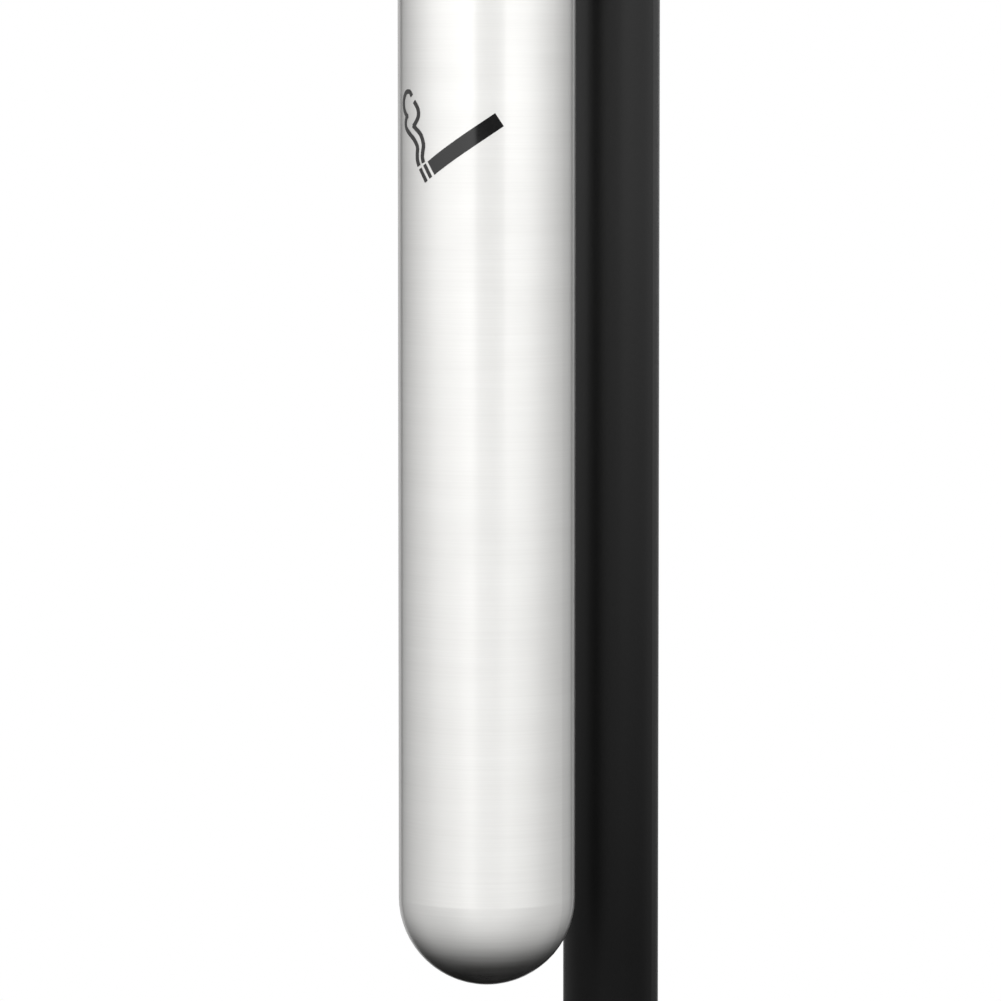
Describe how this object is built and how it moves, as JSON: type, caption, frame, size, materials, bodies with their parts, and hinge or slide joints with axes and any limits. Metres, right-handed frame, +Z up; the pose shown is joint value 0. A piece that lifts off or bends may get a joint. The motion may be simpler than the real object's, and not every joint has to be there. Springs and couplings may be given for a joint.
{
  "type": "ashtray bin",
  "caption": "Capsule-shaped steel ashtray bin held in front of a round post on a base plate; its head lifts out with the liner that hangs from it.",
  "frame": {"origin": "centre of the underside of the base plate, on the post's axis", "axes": "+Z up along the post; the capsule and its inlet face -Y; +X is the side with the key lock"},
  "size_m": [0.26, 0.3324, 1.0703],
  "materials": {
    "brushed_stainless": "brushed round the tube",
    "black_powder_coat": "fine matt powder coat",
    "black_print": "gloss print",
    "black_polymer": "moulded, satin",
    "seal_rubber": "matt",
    "zinc_plate": "bright zinc",
    "lock_chrome": "satin chrome",
    "turned_aluminium": "turned",
    "galvanised": "hot dip galvanised",
    "perforated_stainless": "worn satin"
  },
  "bodies": {
    "stand": {"base_plate": "black_powder_coat", "post_weld": "black_powder_coat", "post_tube": "black_powder_coat", "post_cap": "black_polymer", "post_saddle": "black_powder_coat", "tube_saddle": "black_powder_coat", "bracket_webs": "black_powder_coat", "post_bolts": "zinc_plate", "post_bolt_washers": "zinc_plate", "post_nuts": "zinc_plate", "tube_bolts": "zinc_plate", "tube_bolt_washers": "zinc_plate", "tube_nuts": "zinc_plate", "nut_washers": "zinc_plate", "backing_plate": "zinc_plate", "tube_shell": "brushed_stainless", "rim_seal": "seal_rubber", "smoking_pictogram": "black_print", "lock_barrel": "lock_chrome", "lock_nut": "zinc_plate"},
    "lock": {"lock_core": "lock_chrome", "lock_cam": "zinc_plate", "lock_cam_screw": "zinc_plate"},
    "head": {"head_shell": "brushed_stainless", "head_spigot": "turned_aluminium", "spigot_screws": "zinc_plate", "inlet_bezel": "black_polymer", "stub_plate": "perforated_stainless", "plate_screws": "zinc_plate", "hanger_pins": "zinc_plate"},
    "liner": {"liner_sleeve": "galvanised", "liner_base": "galvanised"}
  },
  "joints": [
    {"name": "head_lift", "type": "slide", "parent": "stand", "child": "head", "axis": [0, 0, 1], "range_m": [0, 0.68]},
    {"name": "liner_turn", "type": "hinge", "parent": "head", "child": "liner", "pos_m": [0, -0.14715, 0.973], "axis": [0, 0, 1], "range_deg": [0, 25]},
    {"name": "lock_turn", "type": "hinge", "parent": "stand", "child": "lock", "pos_m": [0.05, -0.14715, 0.941], "axis": [1, 0, 0], "range_deg": [0, 90]}
  ]
}
